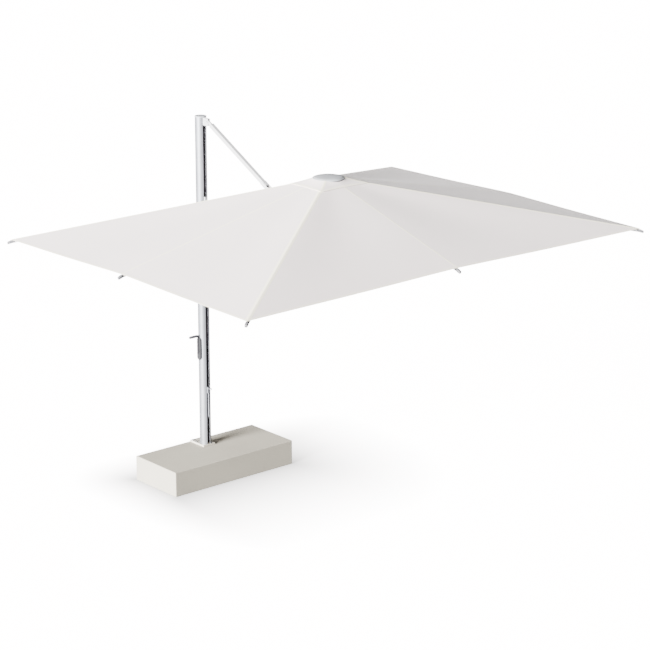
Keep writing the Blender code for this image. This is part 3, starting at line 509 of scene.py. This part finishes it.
def half_panel(bm, layers, end, other, seam, sag):
    """Grid of cloth from a rib, where it is finest, to the seam beside it."""
    height = fall_plane(end, other)
    rib_side = Vector((end.x, end.y))
    seam_side = Vector((seam.x, seam.y))
    hem_edge = seam_side - rib_side
    hem_normal = Vector((-hem_edge.y, hem_edge.x)).normalized()
    rib_axis = rib_side.normalized()
    seam_axis = seam_side.normalized()
    grid = []
    for row in range(PANEL_ROWS + 1):
        outward = row / PANEL_ROWS
        line = []
        for column in range(PANEL_COLUMNS + 1):
            across = (column / PANEL_COLUMNS) ** 2
            inner = rib_axis.lerp(seam_axis, across).normalized() * HOLE_RADIUS
            outer = rib_side.lerp(seam_side, across)
            spot = inner.lerp(outer, outward)
            dip = smooth_sag(across / 2, outward, sag)
            vert = bm.verts.new((spot.x + HUB_X, spot.y, APEX_Z + height(spot.x, spot.y) - dip))
            vert[layers["hem"]] = abs((spot - rib_side).dot(hem_normal))
            vert[layers["hip"]] = abs(rib_axis.x * spot.y - rib_axis.y * spot.x)
            along_hem = (spot - rib_side).length
            vert[layers["run"]] = spot.dot(rib_axis) if vert[layers["hip"]] < HIP_TAPE else along_hem
            line.append(vert)
        grid.append(line)
    for near, far in zip(grid, grid[1:]):
        for index in range(PANEL_COLUMNS):
            bm.faces.new((near[index], far[index], far[index + 1], near[index + 1]))


def cut_notch(bm, side):
    """Opening in the rear seam that the strut passes through."""
    limits = (
        (Vector((HUB_X - NOTCH_NEAR, 0, 0)), Vector((1, 0, 0))),
        (Vector((HUB_X - NOTCH_FAR, 0, 0)), Vector((1, 0, 0))),
        (Vector((0, side * STRUT_HALF, 0)), Vector((0, 1, 0))),
    )
    for spot, normal in limits:
        region = [face for face in bm.faces if abs(face.calc_center_median().y) < 3 * STRUT_HALF]
        parts = set(region)
        for face in region:
            parts.update(face.edges)
            parts.update(face.verts)
        bmesh.ops.bisect_plane(bm, geom=list(parts), plane_co=spot, plane_no=normal)
    gone = []
    for face in bm.faces:
        centre = face.calc_center_median()
        if HUB_X - NOTCH_FAR < centre.x < HUB_X - NOTCH_NEAR and abs(centre.y) < STRUT_HALF:
            gone.append(face)
    bmesh.ops.delete(bm, geom=gone, context="FACES")


def crisp_rim(mesh):
    """Mark the open edges sharp, so that shading stays even up to a seam."""
    bm = bmesh.new()
    bm.from_mesh(mesh)
    for edge in bm.edges:
        if edge.is_boundary:
            edge.smooth = False
    bm.to_mesh(mesh)
    bm.free()


def canopy_sector(index):
    """Cloth that one rib carries, out to the seam on each side of it."""
    name, along_x, along_y = RIB_ENDS[index]
    end = rib_end(along_x, along_y)
    bm = bmesh.new()
    layers = cloth_layers(bm)
    for beside in (index - 1, index + 1):
        if 0 <= beside < len(RIB_ENDS):
            other = rib_end(*RIB_ENDS[beside][1:])
            half_panel(bm, layers, end, other, (end + other) / 2, PANEL_SAG)
        else:
            half_panel(bm, layers, end, REAR_MIDDLE, REAR_MIDDLE, REAR_SAG)
    bmesh.ops.remove_doubles(bm, verts=bm.verts, dist=1e-6)
    if along_x < 0:
        cut_notch(bm, along_y)
    if along_x == 0 or along_y == 0:
        for vert in bm.verts:
            vert[layers["hip"]] += MIDDLE_TAPE_SHIFT
    for face in bm.faces:
        if face.normal.z < 0:
            face.normal_flip()
    area = sum(face.calc_area() for face in bm.faces)
    label = "canopy_" + name + "_cloth"
    cloth = link(label, to_mesh(label, bm), "canopy_cloth", 80)
    crisp_rim(cloth.data)
    thicken(cloth, CLOTH_THICKNESS)
    stand_for(cloth, "canopy_" + name)
    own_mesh(cloth)


def outline_reach(turn):
    """Distance from the hub's axis to the vent flap's edge in one direction."""
    across = abs(math.cos(turn)) / FLAP_HALF_DEPTH
    along = abs(math.sin(turn)) / FLAP_HALF_LENGTH
    return 1 / max(across, along)


def cloth_height(x, y):
    """Height of the stretched canopy over any point, from the pair of ribs it lies between."""
    ends = [rib_end(*item[1:]) for item in RIB_ENDS] + [REAR_MIDDLE]
    for first, second in zip(ends, ends[1:] + ends[:1]):
        if first.x * y - first.y * x >= -1e-9 and x * second.y - y * second.x >= -1e-9:
            return APEX_Z + fall_plane(first, second)(x, y)
    return APEX_Z


def flap_turns(corners):
    """Directions of the flap's points: one on every rib and corner, and even steps between them."""
    ribs = [math.atan2(end.y, end.x) for end in (rib_end(*item[1:]) for item in RIB_ENDS)]
    fixed = sorted({*ribs, *corners, math.pi})
    turns = []
    for first, second in zip(fixed, fixed[1:] + [fixed[0] + 2 * math.pi]):
        steps = max(1, round((second - first) / FLAP_STEP))
        turns += [first + (second - first) * step / steps for step in range(steps)]
    return turns


def vent_flap():
    """Second layer of cloth over the apex, loose at its outer edge."""
    corner = math.atan2(FLAP_HALF_LENGTH, FLAP_HALF_DEPTH)
    corners = (corner, -corner, math.pi - corner, corner - math.pi)
    turns = flap_turns(corners)
    bm = bmesh.new()
    layers = cloth_layers(bm)
    grid = []
    for row in range(FLAP_ROWS + 1):
        share = row / FLAP_ROWS
        lift = FLAP_LIFT + FLAP_RISE * (1 - share) ** 2
        line = []
        for turn in turns:
            reach = FLAP_INNER + (outline_reach(turn) - FLAP_INNER) * share
            x, y = polar(reach, turn)
            vert = bm.verts.new((x + HUB_X, y, cloth_height(x, y) + lift))
            vert[layers["hem"]] = (outline_reach(turn) - reach) * FLAP_HEM_SHARE
            nearest = min(abs(math.remainder(turn - mark, 2 * math.pi)) for mark in corners)
            vert[layers["hip"]] = reach * math.sin(min(nearest, 1.5)) + FLAP_TAPE_SHIFT
            vert[layers["run"]] = turn * FLAP_RUN
            line.append(vert)
        grid.append(line)
    for near, far in zip(grid, grid[1:]):
        for index in range(len(turns)):
            after = (index + 1) % len(turns)
            bm.faces.new((near[index], far[index], far[after], near[after]))
    area = sum(face.calc_area() for face in bm.faces)
    flap = from_bmesh("vent_flap_cloth", bm, "canopy_cloth", 80)
    crisp_rim(flap.data)
    if any(polygon.normal.z < 0 for polygon in flap.data.polygons):
        flap.data.flip_normals()
    thicken(flap, FLAP_THICKNESS)
    stand_for(flap, "vent_flap")


def canopy_cap():
    """Shallow domed cap with a rolled rim and a fine groove round its lid."""
    low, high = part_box("canopy_cap")
    radius = (high.x - low.x) / 2
    rise = high.z - low.z
    lid = radius - 0.0110
    lid_height = 0.0099
    profile = [(0, 0), (radius - 0.004, 0), (radius - 0.001, 0.0012), (radius, 0.0035),
               (radius - 0.0006, 0.0062), (radius - 0.003, 0.0082), (radius - 0.0075, 0.0096),
               (radius - 0.0095, 0.0092), (lid, lid_height)]
    for step in range(1, 11):
        turn = step / 10 * math.pi / 2
        profile.append((lid * math.cos(turn), lid_height + (rise - lid_height) * math.sin(turn)))
    cap = turned("canopy_cap_look", profile, "cap_grey", Matrix.Translation((HUB_X, 0, low.z)), 96, 40)
    stand_for(cap, "canopy_cap")


# ---------------------------------------------------------------- rib ends and rivets

def rounded_section(x, half_width, low, high, points=20):
    """Ring of points round a box section with full corners."""
    ring = []
    for index in range(points):
        turn = 2 * math.pi * (index + 0.5) / points
        across = math.copysign(abs(math.cos(turn)) ** 0.5, math.cos(turn))
        upward = math.copysign(abs(math.sin(turn)) ** 0.5, math.sin(turn))
        ring.append(Vector((x, half_width * across, (low + high) / 2 + (high - low) / 2 * upward)))
    return ring


# Along a rib's tip: share of its length, half width, underside and top
TIP_SECTIONS = (
    (0.004, 0.0115, 0.0000, 0.0225), (0.40, 0.0118, 0.0000, 0.0225), (0.48, 0.0126, -0.0012, 0.0236),
    (0.56, 0.0128, -0.0020, 0.0236), (0.62, 0.0121, -0.0022, 0.0216), (0.76, 0.0119, -0.0030, 0.0198),
    (0.88, 0.0114, -0.0036, 0.0180), (0.95, 0.0100, -0.0032, 0.0164), (0.985, 0.0078, -0.0016, 0.0142),
    (1.00, 0.0044, 0.0010, 0.0110),
)


def rib_tip(name, along_x, along_y):
    """Moulded end of a rib: a plug in the hem pocket, a collar, and a drooping nose."""
    matrix, _, start, end = rib_matrix(along_x, along_y)
    bm = bmesh.new()
    sweep_rings(bm, [rounded_section(start + (end - start) * share, half, low, high)
                     for share, half, low, high in TIP_SECTIONS])
    bm.transform(matrix)
    tip = from_bmesh("tip_" + name + "_look", bm, "grey_plastic", 50)
    stand_for(tip, "tip_" + name)


def rivet(name, centre, axis, body):
    """Domed head standing on a surface, pointing along axis."""
    profile = [(RIVET_RADIUS, -0.0002), (RIVET_RADIUS, RIVET_DEPTH * 0.35),
               (RIVET_RADIUS * 0.85, RIVET_DEPTH * 0.75), (RIVET_RADIUS * 0.5, RIVET_DEPTH * 0.95),
               (0, RIVET_DEPTH)]
    turn = Vector((0, 0, 1)).rotation_difference(axis).to_matrix().to_4x4()
    head = turned(name, profile, "stainless_steel", Matrix.Translation(centre) @ turn, 16, 50)
    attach(head, body)


def stretcher_rivets(name, along_x, along_y):
    """Rivet heads on the ears under a rib, where its stretcher hangs."""
    matrix, azimuth, _, _ = rib_matrix(along_x, along_y)
    low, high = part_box("stretcher_" + name)
    outward = Vector((math.cos(azimuth), math.sin(azimuth), 0))
    corners = [Vector((x - HUB_X, y, 0)) for x in (low.x, high.x) for y in (low.y, high.y)]
    far = max(corner.dot(outward) for corner in corners)
    local = matrix.inverted() @ Vector((HUB_X + outward.x * far, outward.y * far, high.z))
    sideways = matrix.to_3x3() @ Vector((0, 1, 0))
    for side, word in ((-1, "right"), (1, "left")):
        spot = matrix @ Vector((local.x - RIVET_SETBACK, side * RIVET_SIDE, -RIVET_DROP))
        rivet("stretcher_rivet_" + name + "_" + word, spot, sideways * side, BODY_OF["rib_" + name])


# ---------------------------------------------------------------- mast and base

def mast_tube():
    """Round extrusion with a full-height slot whose lips are rolled inwards."""
    low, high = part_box("mast_tube")
    edge = math.asin(HALF_SLOT / MAST_OUTER)
    outer_start = edge + SLOT_LIP / MAST_OUTER
    outer_sweep = 2 * math.pi - 2 * outer_start
    inner_edge = math.asin(HALF_SLOT / MAST_INNER)
    inner_start = 2 * math.pi - inner_edge - SLOT_LIP_TURN
    inner_sweep = 2 * math.pi - 2 * inner_edge - 2 * SLOT_LIP_TURN
    steps = range(MAST_STEPS + 1)
    lip = [(math.cos(edge) * (MAST_OUTER - SLOT_LIP * 0.4), HALF_SLOT + SLOT_LIP * 0.25),
           (math.cos(edge) * (MAST_OUTER - SLOT_LIP), HALF_SLOT),
           (MAST_INNER * math.cos(inner_edge), HALF_SLOT)]
    profile = arc(MAST_OUTER, [outer_start + outer_sweep * index / MAST_STEPS for index in steps])
    profile += [(x, -y) for x, y in lip]
    profile += arc(MAST_INNER, [inner_start - inner_sweep * index / MAST_STEPS for index in steps])
    profile += reversed(lip)
    tube = from_bmesh("mast_tube_look", upright(profile, low.z, high.z), "silver_powder_coat", 50)
    stand_for(tube, "mast_tube")


def slot_liner():
    """Dark inner sleeve of the mast, with two thin dark strips over the slot's sides as painted shade."""
    low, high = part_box("slot_liner")
    edge = math.asin(HALF_SLOT / LINER_OUTER)
    sweep = 2 * math.pi - 2 * edge
    turns = [edge + sweep * index / LINER_STEPS for index in range(LINER_STEPS + 1)]
    profile = arc(LINER_OUTER, turns) + arc(LINER_INNER, list(reversed(turns)))
    sleeve = from_bmesh("slot_liner_look", upright(profile, low.z, high.z), "dark_plastic", 50)
    sleeve.data.materials[0] = OWN_FINISH["slot_liner"]
    stand_for(sleeve, "slot_liner")
    # Painted shade: thin dark strips laid over the slot's side faces, which the low light would otherwise
    # show bright.
    for side, name in ((-1, "right"), (1, "left")):
        far = side * (HALF_SLOT - SHADE_STRIP_GAP)
        near = side * (HALF_SLOT - SHADE_STRIP_GAP - SHADE_STRIP_WIDTH)
        section = [(0.0440, near), (0.0470, near), (0.0476, near),
                   (0.0480, far), (0.0470, far), (0.0440, far)]
        strip = upright(section, low.z, high.z)
        painted_shade_strip = from_bmesh("slot_shade_strip_" + name, strip, "dark_plastic", 50)
        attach(painted_shade_strip, MAST_BODY)


WASHER = ((0.0035, 0), (0.0110, 0), (0.0115, 0.0008), (0.0110, 0.0018), (0.0035, 0.0018))
BOLT_HEAD = ((0.0078, 0.0018), (0.0084, 0.0024), (0.0084, 0.0072), (0.0074, 0.0084), (0.0005, 0.0084))
BOLT_ROWS = (("rear", 0.022), ("near", 0.072))
BOLT_INSET = 0.014


def foot_bolts():
    """Hexagon bolts with washers that hold the foot plate to the base."""
    low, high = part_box("foot_plate")
    for row, setback in BOLT_ROWS:
        x = low.x + setback
        for side, y in (("right", low.y + BOLT_INSET), ("left", high.y - BOLT_INSET)):
            place = Matrix.Translation((x, y, high.z))
            tightened = Matrix.Rotation(0.4 + x * 9, 4, "Z")
            label = row + "_" + side
            washer = turned("foot_washer_" + label, WASHER, "stainless_steel", place, 32)
            head = turned("foot_bolt_" + label, BOLT_HEAD, "stainless_steel", place @ tightened, 6, 30)
            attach(washer, MAST_BODY)
            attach(head, MAST_BODY)


def mast_weld():
    """Bead of weld round the mast's foot, open at the slot."""
    low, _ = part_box("mast_tube")
    section = ((0.0501, 0.0001), (0.0540, 0.0001), (0.0536, 0.0016), (0.0520, 0.0034), (0.0501, 0.0040))
    bm = bmesh.new()
    rings = []
    for index in range(WELD_STEPS + 1):
        turn = math.radians(WELD_START + (360 - 2 * WELD_START) * index / WELD_STEPS)
        rings.append([Vector((*polar(radius, turn), low.z + rise)) for radius, rise in section])
    sweep_rings(bm, rings)
    bead = from_bmesh("mast_weld", bm, "silver_powder_coat", 60)
    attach(bead, MAST_BODY)


# ---------------------------------------------------------------- the parasol

PLAIN_EDGE = 0.0008
SOFT_EDGES = {"base_block": 0.0, "crank_housing": 0.0015, "foot_plate": 0.0015, "strut_tube": 0.0030,
              "arm_tube": 0.0030, "hub_crown": 0.0020, "runner": 0.0010, "hub_bracket": 0.0015,
              "cord_drum": 0.0, "crank_shaft": 0.0}
CUSTOM = {"mast_tube", "slot_liner", "canopy_cap", "vent_flap"}
CUSTOM |= {prefix + item[0] for item in RIB_ENDS for prefix in ("canopy_", "tip_")}

for node_name in sorted(NODES):
    if node_name not in CUSTOM:
        dress(node_name, SOFT_EDGES.get(node_name, PLAIN_EDGE))
for position, (rib_name, x_share, y_share) in enumerate(RIB_ENDS):
    canopy_sector(position)
    rib_tip(rib_name, x_share, y_share)
    stretcher_rivets(rib_name, x_share, y_share)
vent_flap()
canopy_cap()
mast_tube()
slot_liner()
mast_weld()
foot_bolts()


# ---------------------------------------------------------------- floor, light and camera

def reach_beyond(made, place, axis, first, last, dark_side, lit_side):
    """Distance past either side of the base along one axis, for the floor's painted shadow; stretched more
    on the lit side, so the shadow ends sooner there.
    """
    beyond = made.math("MULTIPLY", made.math("SUBTRACT", place.outputs[axis], last), dark_side)
    before = made.math("MULTIPLY", made.math("SUBTRACT", first, place.outputs[axis]), lit_side)
    return made.math("MAXIMUM", made.math("MAXIMUM", beyond, before), 0.0)


def pale_floor():
    """White floor with a painted soft shadow round the base, darkest on the side away from the light."""
    bpy.ops.mesh.primitive_plane_add(size=FLOOR_SIZE)
    floor = bpy.context.object
    floor.name = "floor"
    made = Shader("floor_look", (0.80, 0.80, 0.80), 0.9)
    seen = made.node("ShaderNodeLightPath").outputs["Is Camera Ray"]
    low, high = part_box("base_block")
    place = made.node("ShaderNodeSeparateXYZ")
    made.wire(made.node("ShaderNodeNewGeometry").outputs["Position"], place.inputs[0])
    reaches = [reach_beyond(made, place, "X", low.x, high.x, DARK_SIDE_X, LIT_SIDE_X),
               reach_beyond(made, place, "Y", low.y, high.y, DARK_SIDE_Y, LIT_SIDE_Y)]
    squares = [made.math("MULTIPLY", reach, reach) for reach in reaches]
    distance = made.math("SQRT", made.math("ADD", *squares))
    # Painted shadow: the floor's glow is lowest at the base and full beyond SHADE_REACH.
    painted_shadow_glow = made.span(distance, 0.0, SHADE_REACH, SHADE_LOW, SHADE_HIGH)
    made.main.inputs["Emission Color"].default_value = (1.0, 0.965, 0.955, 1)
    made.wire(made.math("MULTIPLY", painted_shadow_glow, seen), made.main.inputs["Emission Strength"])
    made.base_colour(made.span(seen, 0.0, 1.0, 0.18, 0.40))
    floor.data.materials.append(made.material)


def studio_light():
    """Broad low light from the crank side, and an even grey sky."""
    sun = bpy.data.lights.new("window_wall", "SUN")
    sun.energy = SUN_ENERGY
    sun.angle = math.radians(SUN_ANGLE)
    sun.color = (1.0, 0.995, 0.985)
    lamp = bpy.data.objects.new("window_wall", sun)
    lamp.rotation_euler = SUN_DIRECTION.to_track_quat("Z", "Y").to_euler()
    bpy.context.scene.collection.objects.link(lamp)
    world = bpy.data.worlds.new("even_sky")
    world.use_nodes = True
    sky = world.node_tree.nodes["Background"]
    sky.inputs["Color"].default_value = (0.97, 0.98, 1.0, 1)
    sky.inputs["Strength"].default_value = SKY_STRENGTH
    bpy.context.scene.world = world


def camera():
    lens = bpy.data.cameras.new("camera")
    lens.sensor_width = 36.0
    lens.lens = 127.23
    lens.clip_end = 300
    made = bpy.data.objects.new("camera", lens)
    made.location = (15.219, -11.593, 7.018)
    made.rotation_euler = (math.radians(90 - 16.62), 0, math.radians(49.55))
    bpy.context.scene.collection.objects.link(made)
    bpy.context.scene.camera = made


pale_floor()
studio_light()
camera()
